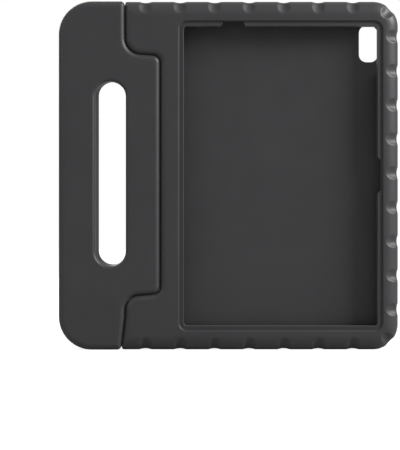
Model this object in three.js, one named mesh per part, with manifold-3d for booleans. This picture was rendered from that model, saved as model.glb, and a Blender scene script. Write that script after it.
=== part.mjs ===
// Protective case for a tablet, moulded in foam, standing upright on its lower edge.
// X runs to the right seen from the front, Y to the back, Z up. Millimetres.
// The origin is under the middle of the case, level with the surface that it stands on.

import * as THREE from 'three';
import { mergeVertices } from 'three/addons/utils/BufferGeometryUtils.js';
import Module from 'manifold-3d';

// Driving dimensions

const caseHeight = 275;
const caseThickness = 27.5;
const caseRight = 134;
const handleLeft = -134;

const bodyCornerRadius = 20;
const bodyEdgeRadius = 8.5;
const handleCornerRadius = 26;
const handleEdgeRadius = 5;
const handleOuterThickness = 17;
const handleTaperPower = 1.5;

const tabletWidth = 166;
const tabletHeight = 249;
const tabletDepth = 8.5;
const tabletCornerRadius = 9;
const tabletCentreX = 41;
const tabletCentreZ = 137;
const frontFrameDepth = 8;

const lipOverlapX = 6.75;
const lipOverlapZ = 6.5;
const lipThickness = 5.6;
const lipCornerRadius = 2.5;
const ledgeWidth = 4.4;
const ledgeStepDepth = 1.2;
const ledgeStepWidth = 0.8;

const topLipNotchCentreX = 3.8;
const topLipNotchInnerWidth = 19.4;
const topLipNotchOuterWidth = 15.2;
const sideLipNotchCentreZ = 137.7;
const sideLipNotchInnerHeight = 29.7;
const sideLipNotchOuterHeight = 22.9;
const sideLipNotchDepth = 3;

const pivotX = -67.45;
const seamGap = 0.8;
const tongueReach = 13.55;
const shoulderReach = 14.3;
const shoulderLean = 0.3;
const topStepDepth = 41.4;
const topStepRise = 1.6;
const bottomStepHeight = 42;
const bottomStepRise = 2.4;
const earCornerRadius = 11;
const tongueCornerRadius = 6;
const shoulderSlant = 3;
const shoulderSlantHeight = 24.5;
const handleEndRadius = 4;
const earEndChamfer = 2.3;
const seamEdgeRadius = 3;

const slotCentreX = -92.5;
const slotCentreZ = 140.5;
const slotWidth = 23;
const slotLength = 144;
const slotEdgeRadius = 2.6;
const slotMouthShiftX = 1.8;
const slotMouthShiftZ = 0.6;

const channelWidth = 8.7;
const channelDepth = 1.3;
const channelReach = 9;
const channelPitchX = 27.3;
const channelPitchZ = 26.9;
const channelsAlongX = 7;
const channelsAlongZ = 9;
const channelCentreX = 16.3;
const channelCentreZ = 138;

const bumpDiameter = 6;
const bumpHeight = 0.9;
const bumpCrownShare = 0.6;
const bumpPitch = 27;
const outerBumpInset = 20.5;
const innerBumpInset = 34;

const cameraCentreX = 111.5;
const cameraCentreZ = 242.5;
const cameraOuterWidth = 20;
const cameraOuterHeight = 47;
const cameraOuterRadius = 8;
const cameraInnerWidth = 15;
const cameraInnerHeight = 29;
const cameraInnerRadius = 6;
const cameraFunnelDepth = 8;

const buttonCutBottomZ = 222;
const buttonCutHeight = 39;
const buttonCutOverlap = 0.8;
const topCutCentreX = 61;
const topCutWidth = 30;
const portCutWidth = 20;
const edgeCutReach = 10.5;
const edgeCutFrontY = -4;
const cutCornerRadius = 2;

const speakerHoleDiameter = 3;
const speakerHolePitch = 7.1;
const speakerHolesPerGroup = 4;
const speakerGroupOffset = 47;
const speakerHoleZ = 9.5;

const pinDiameter = 8;
const pinLength = 30;
const pinRibDiameter = 9.4;
const pinRibLength = 1.6;
const pinFirstRib = 3;
const pinRibPitch = 4;
const pinRibCount = 3;
const pinEndChamfer = 0.8;
const pinClearance = 0.35;

const arcSteps = 6;
const edgeSteps = 4;
const roundSteps = 10;
const past = 1;
const farPast = 5;
const sliver = 0.01;
const weldDistance = 1e-4;
const toolCornerRadius = 0.1;

// Values that follow from the driving dimensions

const frontY = -caseThickness / 2;
const backY = caseThickness / 2;
const middleZ = caseHeight / 2;
const pocketFrontY = frontY + frontFrameDepth;
const pocketBackY = pocketFrontY + tabletDepth;
const lipFrontY = pocketFrontY - lipThickness;
const pocketRight = tabletCentreX + tabletWidth / 2;
const pocketTop = tabletCentreZ + tabletHeight / 2;
const pocketBottom = tabletCentreZ - tabletHeight / 2;
const lipWidth = tabletWidth - 2 * lipOverlapX;
const lipHeight = tabletHeight - 2 * lipOverlapZ;
const lipTop = tabletCentreZ + lipHeight / 2;
const lipRight = tabletCentreX + lipWidth / 2;
const recessWallX = pivotX + tongueReach + seamGap;
const farLeft = handleLeft - farPast;

// Outlines in the X and Z plane

function arcPoints(centreX, centreZ, radius, fromDeg, toDeg, steps) {
  const points = [];
  for (let i = 0; i <= steps; i += 1) {
    const angle = THREE.MathUtils.degToRad(fromDeg + ((toDeg - fromDeg) * i) / steps);
    points.push(
      new THREE.Vector2(centreX + radius * Math.cos(angle), centreZ + radius * Math.sin(angle)),
    );
  }
  return points;
}

function roundedRectangle(centreX, centreZ, width, height, radius) {
  const x = width / 2 - radius;
  const z = height / 2 - radius;
  return [
    ...arcPoints(centreX + x, centreZ + z, radius, 0, 90, arcSteps),
    ...arcPoints(centreX - x, centreZ + z, radius, 90, 180, arcSteps),
    ...arcPoints(centreX - x, centreZ - z, radius, 180, 270, arcSteps),
    ...arcPoints(centreX + x, centreZ - z, radius, 270, 360, arcSteps),
  ];
}

// A path through corners that are rounded, moved sideways by an offset to its left
function roundedPath(corners, offset) {
  const points = [];
  const turned = (v) => new THREE.Vector2(-v.y, v.x);
  const at = (corner) => new THREE.Vector2(corner.x, corner.z);
  for (let i = 0; i < corners.length; i += 1) {
    const here = at(corners[i]);
    const before = i > 0 ? here.clone().sub(at(corners[i - 1])).normalize() : null;
    const after = i < corners.length - 1 ? at(corners[i + 1]).sub(here).normalize() : null;
    if (!before || !after) {
      points.push(here.addScaledVector(turned(before || after), offset));
      continue;
    }
    const radius = corners[i].radius;
    const side = Math.sign(before.cross(after)) || 1;
    const turn = Math.acos(THREE.MathUtils.clamp(before.dot(after), -1, 1));
    const normal = turned(before);
    const centre = here
      .clone()
      .addScaledVector(before, -radius * Math.tan(turn / 2))
      .addScaledVector(normal, side * radius);
    const spoke = normal.clone().multiplyScalar(-side * (radius - side * offset));
    const steps = Math.max(2, Math.round((arcSteps * turn) / (Math.PI / 2)));
    for (let k = 0; k <= steps; k += 1) {
      const angle = (side * turn * k) / steps;
      points.push(spoke.clone().rotateAround(new THREE.Vector2(), angle).add(centre));
    }
  }
  return points;
}

// Solids

function closedGeometry(positions, indices) {
  const geometry = new THREE.BufferGeometry();
  geometry.setAttribute('position', new THREE.Float32BufferAttribute(positions, 3));
  geometry.setIndex(indices);
  return geometry;
}

function signedVolume(geometry) {
  const point = (i) => new THREE.Vector3().fromBufferAttribute(geometry.attributes.position, i);
  const index = geometry.index.array;
  let volume = 0;
  for (let i = 0; i < index.length; i += 3) {
    volume += point(index[i]).dot(point(index[i + 1]).cross(point(index[i + 2]))) / 6;
  }
  return volume;
}

// Rings with the same number of points, from the front to the back, joined and closed at both ends
function ringLoft(rings) {
  const count = rings[0].points.length;
  const reversed = THREE.ShapeUtils.isClockWise(rings[0].points);
  const ordered = (points) => (reversed ? points.slice().reverse() : points);
  const positions = [];
  for (const ring of rings) {
    for (const point of ordered(ring.points)) {
      positions.push(point.x, ring.y, point.y);
    }
  }
  const indices = [];
  for (let r = 0; r < rings.length - 1; r += 1) {
    for (let i = 0; i < count; i += 1) {
      const a = r * count + i;
      const b = r * count + ((i + 1) % count);
      indices.push(a, b, b + count, a, b + count, a + count);
    }
  }
  const cap = THREE.ShapeUtils.triangulateShape(ordered(rings[0].points), []);
  const last = (rings.length - 1) * count;
  for (const [a, b, c] of cap) {
    indices.push(a, c, b, last + a, last + b, last + c);
  }
  return closedGeometry(positions, indices);
}

function prism(points, fromY, toY) {
  return ringLoft([
    { points, y: fromY },
    { points, y: toY },
  ]);
}

// A slab between an upper edge and its mirror image below, with a front and a back that may curve along X
function ruledSlab(upperEdge, layers) {
  const count = upperEdge.length;
  const positions = [];
  for (const layer of layers) {
    for (const side of [1, -1]) {
      for (const point of upperEdge) {
        const x = point.x - layer.inset * point.normalX;
        const rise = point.z - layer.inset * point.normalZ - middleZ;
        positions.push(x, layer.y(x), middleZ + side * rise);
      }
    }
  }
  const indices = [];
  const upper = (layer, i) => layer * 2 * count + i;
  const lower = (layer, i) => layer * 2 * count + count + i;
  const quad = (a, b, c, d) => indices.push(a, b, c, a, c, d);
  const last = layers.length - 1;
  for (let k = 0; k < last; k += 1) {
    for (let i = 0; i < count - 1; i += 1) {
      quad(upper(k, i), upper(k + 1, i), upper(k + 1, i + 1), upper(k, i + 1));
      quad(lower(k, i), lower(k, i + 1), lower(k + 1, i + 1), lower(k + 1, i));
    }
    const end = count - 1;
    quad(upper(k, end), upper(k + 1, end), lower(k + 1, end), lower(k, end));
    quad(upper(k, 0), lower(k, 0), lower(k + 1, 0), upper(k + 1, 0));
  }
  for (let i = 0; i < count - 1; i += 1) {
    quad(upper(0, i), upper(0, i + 1), lower(0, i + 1), lower(0, i));
    quad(upper(last, i), lower(last, i), lower(last, i + 1), upper(last, i + 1));
  }
  return closedGeometry(positions, indices);
}

// Layers of a slab whose front and back edges are rounded, skinned by an even thickness
function roundedLayers(radius, backSurface, skin) {
  const layers = [];
  const round = radius - skin;
  for (let i = 0; i <= edgeSteps; i += 1) {
    const angle = (Math.PI / 2) * (i / edgeSteps);
    const drop = round * (1 - Math.cos(angle));
    layers.push({
      inset: skin + round * (1 - Math.sin(angle)),
      y: () => frontY + skin + drop,
    });
  }
  for (let i = edgeSteps; i >= 0; i -= 1) {
    const angle = (Math.PI / 2) * (i / edgeSteps);
    const drop = round * (1 - Math.cos(angle));
    layers.push({
      inset: skin + round * (1 - Math.sin(angle)),
      y: (x) => backSurface(x) - skin - drop,
    });
  }
  return layers;
}

function edgeArc(centreX, radius, fromDeg, toDeg) {
  const centreZ = caseHeight - radius;
  return arcPoints(centreX, centreZ, radius, fromDeg, toDeg, arcSteps).map((point) => ({
    x: point.x,
    z: point.y,
    normalX: (point.x - centreX) / radius,
    normalZ: (point.y - centreZ) / radius,
  }));
}

const wasm = await Module();
wasm.setup();

function solid(geometry) {
  const bare = geometry.clone();
  bare.deleteAttribute('normal');
  bare.deleteAttribute('uv');
  const merged = mergeVertices(bare, weldDistance);
  const index = Uint32Array.from(merged.index.array);
  if (signedVolume(merged) < 0) {
    index.reverse();
  }
  return new wasm.Manifold(
    new wasm.Mesh({
      numProp: 3,
      vertProperties: Float32Array.from(merged.attributes.position.array),
      triVerts: index,
    }),
  );
}

function joined(solids) {
  return solids.reduce((sum, next) => sum.add(next));
}

function meshFrom(name, body, material) {
  const result = body.getMesh();
  const geometry = closedGeometry(Array.from(result.vertProperties), Array.from(result.triVerts));
  geometry.computeVertexNormals();
  const mesh = new THREE.Mesh(geometry, material);
  mesh.name = name;
  return mesh;
}

// The seam between the handle and the body, from the top down, body side on its left

function seamCorners() {
  const leanX = pivotX - shoulderReach + shoulderLean;
  const tongueX = pivotX + tongueReach;
  return [
    { x: leanX, z: caseHeight - topStepDepth, radius: earCornerRadius },
    { x: tongueX, z: caseHeight - topStepDepth - topStepRise, radius: tongueCornerRadius },
    { x: tongueX, z: bottomStepHeight + bottomStepRise, radius: tongueCornerRadius },
    { x: leanX, z: bottomStepHeight, radius: earCornerRadius },
    { x: pivotX - shoulderReach, z: shoulderSlantHeight, radius: shoulderSlantHeight },
  ];
}

function handleSeam(offset) {
  return roundedPath(
    [
      { x: farLeft - past, z: caseHeight },
      { x: pivotX - shoulderReach, z: caseHeight, radius: handleEndRadius },
      ...seamCorners(),
      { x: pivotX - shoulderReach - shoulderSlant, z: 0, radius: handleEndRadius },
      { x: farLeft - past, z: 0 },
    ],
    offset,
  );
}

function bodySeam() {
  const topX = pivotX - shoulderReach;
  const bottomX = topX - shoulderSlant;
  const chamfer = earEndChamfer;
  return roundedPath(
    [
      { x: farLeft - past, z: caseHeight + chamfer },
      { x: topX + chamfer, z: caseHeight + chamfer, radius: toolCornerRadius },
      { x: topX, z: caseHeight - chamfer, radius: chamfer },
      ...seamCorners(),
      { x: bottomX, z: chamfer, radius: chamfer },
      { x: bottomX + chamfer, z: -chamfer, radius: toolCornerRadius },
      { x: farLeft - past, z: -chamfer },
    ],
    seamGap,
  );
}

// The stretch of the seam on one side of the pivot axis, as distance from the axis against height
function seamReach(points, wantedSide, fromZ, toZ) {
  const kept = [];
  for (const point of points) {
    const reach = (point.x - pivotX) * wantedSide;
    if (reach > 0 && reach < caseThickness && point.y > fromZ && point.y < toZ) {
      kept.push(new THREE.Vector2(reach, point.y));
    }
  }
  return kept.sort((a, b) => a.y - b.y);
}

// A solid turned about the pivot axis
function turned(profile) {
  const first = profile[0];
  const last = profile[profile.length - 1];
  const closed = [new THREE.Vector2(0, first.y), ...profile, new THREE.Vector2(0, last.y)];
  const geometry = new THREE.LatheGeometry(closed, 3 * roundSteps);
  geometry.rotateX(Math.PI / 2);
  geometry.translate(pivotX, 0, 0);
  return solid(geometry);
}

// The same profile run straight along X, as a wall behind the axis
function straightBehind(profile, fromX, toX) {
  const outline = [
    new THREE.Vector2(-past, profile[0].y),
    ...profile,
    new THREE.Vector2(-past, profile[profile.length - 1].y),
  ];
  if (THREE.ShapeUtils.isClockWise(outline)) {
    outline.reverse();
  }
  const positions = [];
  for (const x of [fromX, toX]) {
    for (const point of outline) {
      positions.push(x, point.x, point.y);
    }
  }
  const count = outline.length;
  const indices = [];
  for (let i = 0; i < count; i += 1) {
    const next = (i + 1) % count;
    indices.push(i, next, next + count, i, next + count, i + count);
  }
  for (const [a, b, c] of THREE.ShapeUtils.triangulateShape(outline, [])) {
    indices.push(a, c, b, a + count, b + count, c + count);
  }
  return solid(closedGeometry(positions, indices));
}

function box(fromX, toX, fromY, toY, fromZ, toZ) {
  const geometry = new THREE.BoxGeometry(toX - fromX, toY - fromY, toZ - fromZ);
  geometry.translate((fromX + toX) / 2, (fromY + toY) / 2, (fromZ + toZ) / 2);
  return solid(geometry);
}

// Body

function bodySlab(skin) {
  const edge = [
    { x: farLeft, z: caseHeight, normalX: 0, normalZ: 1 },
    ...edgeArc(caseRight - bodyCornerRadius, bodyCornerRadius, 90, 0),
  ];
  return solid(ruledSlab(edge, roundedLayers(bodyEdgeRadius, () => backY, skin)));
}

// What the ears keep behind the axis, so that the handle can swing past them
function earsBehind(seam) {
  const top = seamReach(seam, -1, middleZ, caseHeight);
  const bottom = seamReach(seam, -1, 0, middleZ);
  const lowestTop = top[0].y;
  const highestBottom = bottom[bottom.length - 1].y;
  top.push(new THREE.Vector2(top[top.length - 1].x, caseHeight + past));
  bottom.unshift(new THREE.Vector2(bottom[0].x, -past));
  top.unshift(new THREE.Vector2(sliver, lowestTop - sliver));
  bottom.push(new THREE.Vector2(sliver, highestBottom + sliver));
  return joined([
    turned(top),
    turned(bottom),
    straightBehind(top, pivotX, recessWallX + past),
    straightBehind(bottom, pivotX, recessWallX + past),
  ]);
}

function channelPrisms() {
  const half = channelWidth / 2;
  const inner = channelReach - half;
  const shape = [
    new THREE.Vector2(-half, past + half),
    ...arcPoints(0, -inner, half, 180, 360, arcSteps),
    new THREE.Vector2(half, past + half),
  ];
  const place = (x, z, angle) =>
    solid(
      prism(
        shape.map((point) =>
          point.clone().rotateAround(new THREE.Vector2(), angle).add(new THREE.Vector2(x, z)),
        ),
        frontY - past,
        backY + past,
      ),
    );
  const prisms = [];
  for (let i = 0; i < channelsAlongX; i += 1) {
    const x = channelCentreX + (i - (channelsAlongX - 1) / 2) * channelPitchX;
    prisms.push(place(x, caseHeight, 0), place(x, 0, Math.PI));
  }
  for (let i = 0; i < channelsAlongZ; i += 1) {
    const z = channelCentreZ + (i - (channelsAlongZ - 1) / 2) * channelPitchZ;
    prisms.push(place(caseRight, z, -Math.PI / 2));
  }
  const diagonal = bodyCornerRadius * Math.SQRT1_2;
  const cornerX = caseRight - bodyCornerRadius + diagonal;
  const cornerRise = middleZ - bodyCornerRadius + diagonal;
  prisms.push(place(cornerX, middleZ + cornerRise, -Math.PI / 4));
  prisms.push(place(cornerX, middleZ - cornerRise, (-3 * Math.PI) / 4));
  return joined(prisms);
}

function pocketAndWindow() {
  const pocket = prism(
    roundedRectangle(tabletCentreX, tabletCentreZ, tabletWidth, tabletHeight, tabletCornerRadius),
    pocketFrontY,
    pocketBackY,
  );
  const ring = (grow, y) => ({
    points: roundedRectangle(
      tabletCentreX,
      tabletCentreZ,
      lipWidth + 2 * grow,
      lipHeight + 2 * grow,
      lipCornerRadius + grow,
    ),
    y,
  });
  const opening = ringLoft([
    ring(ledgeWidth, frontY - past),
    ring(ledgeWidth, frontY),
    ring(ledgeWidth - ledgeStepWidth, frontY + ledgeStepDepth),
    ring(0, lipFrontY),
    ring(0, pocketFrontY + past),
  ]);
  const topNotch = [
    [-topLipNotchInnerWidth / 2, -past],
    [-topLipNotchOuterWidth / 2, ledgeWidth],
    [topLipNotchOuterWidth / 2, ledgeWidth],
    [topLipNotchInnerWidth / 2, -past],
  ].map(([x, z]) => new THREE.Vector2(topLipNotchCentreX + x, lipTop + z));
  const sideNotch = [
    [-past, -sideLipNotchInnerHeight / 2],
    [sideLipNotchDepth, -sideLipNotchOuterHeight / 2],
    [sideLipNotchDepth, sideLipNotchOuterHeight / 2],
    [-past, sideLipNotchInnerHeight / 2],
  ].map(([x, z]) => new THREE.Vector2(lipRight + x, sideLipNotchCentreZ + z));
  const through = (outline) => solid(prism(outline, frontY - past, pocketFrontY + past));
  return joined([solid(pocket), solid(opening), through(topNotch), through(sideNotch)]);
}

function cameraOpening() {
  const outer = (y) => ({
    points: roundedRectangle(
      cameraCentreX,
      cameraCentreZ,
      cameraOuterWidth,
      cameraOuterHeight,
      cameraOuterRadius,
    ),
    y,
  });
  const inner = (y) => ({
    points: roundedRectangle(
      cameraCentreX,
      cameraCentreZ,
      cameraInnerWidth,
      cameraInnerHeight,
      cameraInnerRadius,
    ),
    y,
  });
  return solid(
    ringLoft([
      inner(pocketBackY - past),
      inner(backY - cameraFunnelDepth),
      outer(backY),
      outer(backY + past),
    ]),
  );
}

// A cut through one wall: wide open to the back near the edge, and through to the pocket behind it
function edgeCuts() {
  const block = (centreX, centreZ, width, height, fromY, toY) =>
    solid(
      prism(roundedRectangle(centreX, centreZ, width, height, cutCornerRadius), fromY, toY),
    );
  const side = block(
    pocketRight - buttonCutOverlap + caseRight / 2,
    buttonCutBottomZ + buttonCutHeight / 2,
    caseRight,
    buttonCutHeight,
    pocketFrontY,
    backY + past,
  );
  const topMouth = block(
    topCutCentreX,
    caseHeight - edgeCutReach + caseThickness,
    topCutWidth,
    2 * caseThickness,
    edgeCutFrontY,
    backY + past,
  );
  const topWay = block(
    topCutCentreX,
    pocketTop - past + caseThickness,
    topCutWidth,
    2 * caseThickness,
    edgeCutFrontY,
    pocketBackY,
  );
  const portMouth = block(
    tabletCentreX,
    edgeCutReach - caseThickness,
    portCutWidth,
    2 * caseThickness,
    edgeCutFrontY,
    backY + past,
  );
  const portWay = block(
    tabletCentreX,
    pocketBottom + past - caseThickness,
    portCutWidth,
    2 * caseThickness,
    edgeCutFrontY,
    pocketBackY,
  );
  return joined([side, topMouth, topWay, portMouth, portWay]);
}

function speakerHoles() {
  const mouth = new THREE.Vector3(0, backY, speakerHoleZ);
  const root = new THREE.Vector3(0, (pocketFrontY + pocketBackY) / 2, pocketBottom + past);
  const along = root.clone().sub(mouth);
  const holes = [];
  for (const side of [-1, 1]) {
    for (let i = 0; i < speakerHolesPerGroup; i += 1) {
      const step = (i - (speakerHolesPerGroup - 1) / 2) * speakerHolePitch;
      const length = along.length() + 2 * past;
      const hole = new THREE.CylinderGeometry(
        speakerHoleDiameter / 2,
        speakerHoleDiameter / 2,
        length,
        roundSteps,
      );
      const turn = new THREE.Quaternion().setFromUnitVectors(
        new THREE.Vector3(0, 1, 0),
        along.clone().normalize(),
      );
      hole.applyQuaternion(turn);
      const centre = mouth.clone().add(root).divideScalar(2);
      hole.translate(tabletCentreX + side * speakerGroupOffset + step, centre.y, centre.z);
      holes.push(solid(hole));
    }
  }
  return joined(holes);
}

// Low round bumps in two staggered rows, an even way in from the rim
function backBumps() {
  const places = [];
  for (const inset of [outerBumpInset, innerBumpInset]) {
    const lowX = recessWallX + inset;
    const highX = caseRight - inset;
    const lowZ = inset;
    const highZ = caseHeight - inset;
    const countX = Math.round((highX - lowX) / bumpPitch);
    const countZ = Math.round((highZ - lowZ) / bumpPitch);
    for (let i = 0; i < countX; i += 1) {
      const x = lowX + ((highX - lowX) * (2 * i + 1)) / (2 * countX);
      places.push([x, lowZ], [x, highZ]);
    }
    for (let i = 0; i < countZ; i += 1) {
      const z = lowZ + ((highZ - lowZ) * (2 * i + 1)) / (2 * countZ);
      places.push([lowX, z], [highX, z]);
    }
  }
  return places.filter(([x, z]) => clearOfOpenings(x, z)).map(([x, z]) => bump(x, z));
}

function clearOfOpenings(x, z) {
  const nearCamera =
    Math.abs(x - cameraCentreX) < (cameraOuterWidth + bumpDiameter) / 2 + past &&
    Math.abs(z - cameraCentreZ) < (cameraOuterHeight + bumpDiameter) / 2 + past;
  return !nearCamera;
}

function bump(x, z) {
  const radius = bumpDiameter / 2;
  const profile = [
    new THREE.Vector2(0, -past),
    new THREE.Vector2(radius, -past),
    new THREE.Vector2(radius, 0),
    new THREE.Vector2(radius * bumpCrownShare, bumpHeight * (1 - bumpCrownShare ** 2)),
    new THREE.Vector2(0, bumpHeight),
  ];
  const geometry = new THREE.LatheGeometry(profile, roundSteps);
  geometry.translate(x, backY, z);
  return solid(geometry);
}

// Pivot pins

function pinProfile(clearance) {
  const radius = pinDiameter / 2 + clearance;
  const ribRadius = pinRibDiameter / 2 + clearance;
  const half = pinLength / 2 + clearance;
  const points = [
    new THREE.Vector2(0, -half),
    new THREE.Vector2(radius - pinEndChamfer, -half),
    new THREE.Vector2(radius, -half + pinEndChamfer),
  ];
  for (let i = 0; i < pinRibCount; i += 1) {
    const start = pinFirstRib + pinRibPitch * i;
    points.push(
      new THREE.Vector2(radius, start),
      new THREE.Vector2(ribRadius, start + pinRibLength - pinEndChamfer),
      new THREE.Vector2(ribRadius, start + pinRibLength),
      new THREE.Vector2(radius, start + pinRibLength),
    );
  }
  points.push(
    new THREE.Vector2(radius, half - pinEndChamfer),
    new THREE.Vector2(radius - pinEndChamfer, half),
    new THREE.Vector2(0, half),
  );
  return points;
}

// Ribs point into the ear: up in the top ear, down in the bottom one
function pinSolid(clearance, upper) {
  const geometry = new THREE.LatheGeometry(pinProfile(clearance), 2 * roundSteps);
  geometry.rotateX(upper ? Math.PI / 2 : -Math.PI / 2);
  const seamZ = upper
    ? caseHeight - topStepDepth - topStepRise / 2 + seamGap / 2
    : bottomStepHeight + bottomStepRise / 2 - seamGap / 2;
  geometry.translate(pivotX, 0, seamZ);
  return solid(geometry);
}

function pinBores() {
  return joined([true, false].map((upper) => pinSolid(pinClearance, upper)));
}

// Whole body

function caseBody() {
  const seam = bodySeam();
  const front = solid(prism(seam, frontY - past, 0));
  const behind = box(farLeft - past, recessWallX, -sliver, backY + past, -past, caseHeight + past);
  const slab = bodySlab(0);
  const channels = channelPrisms().subtract(bodySlab(channelDepth));
  const shell = slab.subtract(front.add(behind.subtract(earsBehind(seam))));
  const opened = [pocketAndWindow(), cameraOpening(), edgeCuts(), speakerHoles(), channels];
  const cut = opened.reduce((sum, next) => sum.subtract(next), shell);
  return joined([cut, ...backBumps()]).subtract(pinBores());
}

// Handle

function handleBack(x) {
  const shoulder = pivotX - shoulderReach;
  if (x > shoulder) {
    return backY;
  }
  const share = (shoulder - x) / (shoulder - handleLeft);
  return backY - (caseThickness - handleOuterThickness) * share ** handleTaperPower;
}

function handleSlab() {
  const shoulder = pivotX - shoulderReach;
  const start = handleLeft + handleCornerRadius;
  const edge = edgeArc(start, handleCornerRadius, 180, 90);
  for (let i = 1; i <= edgeSteps; i += 1) {
    const x = start + ((shoulder - start) * i) / edgeSteps;
    edge.push({ x, z: caseHeight, normalX: 0, normalZ: 1 });
  }
  edge.push({ x: recessWallX + past, z: caseHeight, normalX: 0, normalZ: 1 });
  return solid(ruledSlab(edge, roundedLayers(handleEdgeRadius, handleBack, 0)));
}

// The part of the slab that belongs to the handle: cut to the seam in front, and turned behind
function handleShare() {
  const rings = [];
  for (let i = 0; i <= edgeSteps; i += 1) {
    const angle = (Math.PI / 2) * (i / edgeSteps);
    rings.push({
      points: handleSeam(-seamEdgeRadius * (1 - Math.sin(angle))),
      y: frontY + seamEdgeRadius * (1 - Math.cos(angle)),
    });
  }
  rings.push({ points: handleSeam(0), y: 0 });
  const seam = handleSeam(0);
  const behind = solid(prism(seam, -sliver, backY + past)).subtract(
    box(pivotX, recessWallX + past, -past, backY + 2 * past, -past, caseHeight + past),
  );
  const barrel = turned(seamReach(seam, 1, 0, caseHeight));
  return joined([solid(ringLoft(rings)), behind, barrel]);
}

// The mouth of the slot widens to the front, most on its left and at its bottom
function slotOpening() {
  const outline = (grow) =>
    roundedRectangle(
      slotCentreX - (slotMouthShiftX * grow) / slotEdgeRadius,
      slotCentreZ - (slotMouthShiftZ * grow) / slotEdgeRadius,
      slotWidth + 2 * grow,
      slotLength + 2 * grow,
      slotWidth / 2 + grow,
    );
  const rings = [{ points: outline(slotEdgeRadius), y: frontY - past }];
  for (let i = 0; i <= edgeSteps; i += 1) {
    const angle = (Math.PI / 2) * (i / edgeSteps);
    rings.push({
      points: outline(slotEdgeRadius * (1 - Math.sin(angle))),
      y: frontY + slotEdgeRadius * (1 - Math.cos(angle)),
    });
  }
  rings.push({ points: outline(0), y: backY + past });
  return solid(ringLoft(rings));
}

function carryHandle() {
  return handleSlab().intersect(handleShare()).subtract(slotOpening()).subtract(pinBores());
}

// Materials and assembly

const foam = () => new THREE.MeshStandardMaterial({ color: 0x3b3b3d, roughness: 0.55, metalness: 0 });
const handleFoam = () =>
  new THREE.MeshStandardMaterial({ color: 0x3e3e40, roughness: 0.55, metalness: 0 });
const plastic = () =>
  new THREE.MeshStandardMaterial({ color: 0x1c1c1e, roughness: 0.4, metalness: 0 });

const group = new THREE.Group();
group.add(
  meshFrom('case_body', caseBody(), foam()),
  meshFrom('carry_handle', carryHandle(), handleFoam()),
  meshFrom('upper_pivot_pin', pinSolid(0, true), plastic()),
  meshFrom('lower_pivot_pin', pinSolid(0, false), plastic()),
);

export default group;
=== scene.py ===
import math

import bmesh
import bpy
import numpy as np
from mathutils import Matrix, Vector


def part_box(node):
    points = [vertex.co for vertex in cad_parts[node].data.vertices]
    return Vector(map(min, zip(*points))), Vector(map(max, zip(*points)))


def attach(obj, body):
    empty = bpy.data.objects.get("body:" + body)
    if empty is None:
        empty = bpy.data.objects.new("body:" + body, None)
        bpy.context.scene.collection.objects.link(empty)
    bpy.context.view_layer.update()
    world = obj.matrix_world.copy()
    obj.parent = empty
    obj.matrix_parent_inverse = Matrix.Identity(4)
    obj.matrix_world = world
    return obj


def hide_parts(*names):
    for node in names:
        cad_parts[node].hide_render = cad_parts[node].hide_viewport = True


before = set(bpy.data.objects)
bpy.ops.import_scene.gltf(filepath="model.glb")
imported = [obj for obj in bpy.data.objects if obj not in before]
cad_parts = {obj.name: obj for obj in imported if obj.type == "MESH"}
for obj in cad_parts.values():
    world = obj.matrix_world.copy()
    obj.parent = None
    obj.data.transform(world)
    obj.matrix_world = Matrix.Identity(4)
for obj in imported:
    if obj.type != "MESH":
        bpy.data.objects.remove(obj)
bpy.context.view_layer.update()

mm = 0.001
bodyHigh = Vector(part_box("case_body")[1]) / mm
handleLow, handleHigh = (Vector(corner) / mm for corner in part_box("carry_handle"))
frontY, backY = handleLow.y, handleHigh.y
caseTop, caseRight, caseLeft = bodyHigh.z, bodyHigh.x, handleLow.x
middleZ = caseTop / 2
past = 1.0  # how far a cutting tool runs past what it cuts
farPast = 5.0
sliver = 0.02  # how far two tools overlap where they meet
toolCornerRadius = 0.1
smallestRadius = 0.05  # what a corner keeps when an offset would use up its radius
edgeSteps = 6
holeSteps = 24
boreSteps = 32
seamSteps = 96
print("frame loaded:", len(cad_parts), "nodes")


# Camera: level, straight at the front, as far left and low as the photograph frames the case
view = {
    "distance": 1.4,  # metres from the front face
    "frameHeight": 0.3541,  # what the picture's height takes in at the front face
    "picture": (400, 450),
    "objectCentre": (228.6, 175.3),  # pixel where the middle of the case lands
}


def addCamera():
    lens = bpy.data.cameras.new("photoLens")
    camera = bpy.data.objects.new("photoCamera", lens)
    bpy.context.scene.collection.objects.link(camera)
    wide, high = view["picture"]
    metresPerPixel = view["frameHeight"] / high
    acrossPixels = view["objectCentre"][0] - wide / 2
    downPixels = high / 2 - view["objectCentre"][1]
    camera.location = (
        -acrossPixels * metresPerPixel,
        frontY * mm - view["distance"],
        middleZ * mm - downPixels * metresPerPixel,
    )
    camera.rotation_euler = (math.pi / 2, 0, 0)
    lens.sensor_fit = "VERTICAL"
    lens.angle_y = 2 * math.atan(view["frameHeight"] / 2 / view["distance"])
    lens.clip_start = 0.05
    bpy.context.scene.camera = camera


addCamera()
print("camera placed")


# Outlines, as x and z in millimetres
def arcPoints(centreX, centreZ, radius, fromDeg, toDeg, steps):
    angles = [math.radians(fromDeg + (toDeg - fromDeg) * i / steps) for i in range(steps + 1)]
    return [(centreX + radius * math.cos(a), centreZ + radius * math.sin(a)) for a in angles]


def roundedBox(centreX, centreZ, width, height, radius, steps=12):
    x, z = width / 2 - radius, height / 2 - radius
    points = []
    for turn, (sideX, sideZ) in enumerate(((1, 1), (-1, 1), (-1, -1), (1, -1))):
        points += arcPoints(
            centreX + sideX * x, centreZ + sideZ * z, radius, turn * 90, turn * 90 + 90, steps
        )
    return points


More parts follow.
